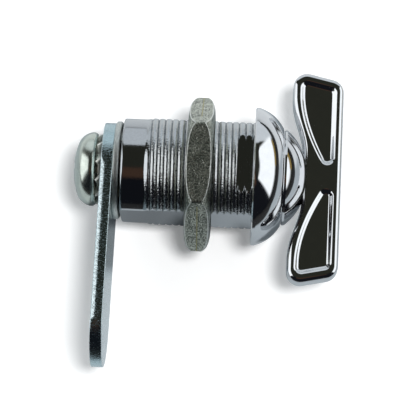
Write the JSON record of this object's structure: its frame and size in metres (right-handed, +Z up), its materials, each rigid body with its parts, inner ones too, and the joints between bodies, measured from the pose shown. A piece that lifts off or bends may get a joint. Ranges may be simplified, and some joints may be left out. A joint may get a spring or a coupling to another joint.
{
  "type": "thumb turn cam lock",
  "caption": "Panel lock with a winged knob on a threaded barrel with two flats; turning the knob swings a flat cam behind the frame, and a hex nut clamps it.",
  "frame": {"origin": "centre of the seat, the back face of the head that lies on the panel, on the lock's axis", "axes": "+X along the lock's axis out of the panel towards the knob, +Z up; at rest the cam points along -Y and the wing's broad faces look along +Z and -Z"},
  "size_m": [0.0455, 0.0525, 0.0244],
  "materials": {
    "housing_chrome": "bright chrome plate on a zinc casting",
    "knob_chrome": "polished chrome plate on a zinc casting",
    "spindle_brass": "turned",
    "seal_rubber": "moulded",
    "stop_steel": "stamped, zinc plated",
    "cam_zinc": "stamped, blue zinc plated",
    "washer_steel": "zinc plated spring steel",
    "screw_zinc": "zinc plated",
    "nut_cast": "as cast, dull"
  },
  "bodies": {
    "barrel": {"housing": "housing_chrome"},
    "turning": {"thumb_turn": "knob_chrome", "spindle": "spindle_brass", "spindle_seal": "seal_rubber", "stop_washer": "stop_steel", "cam": "cam_zinc", "tooth_washer": "washer_steel", "cam_screw": "screw_zinc"},
    "nut": {"mounting_nut": "nut_cast"}
  },
  "joints": [
    {"name": "turn", "type": "hinge", "parent": "barrel", "child": "turning", "pos_m": [0, 0, 0], "axis": [1, 0, 0], "range_deg": [0, 90]},
    {"name": "nut_travel", "type": "slide", "parent": "barrel", "child": "nut", "axis": [1, 0, 0], "range_m": [-0.0068, 0.0068]}
  ]
}
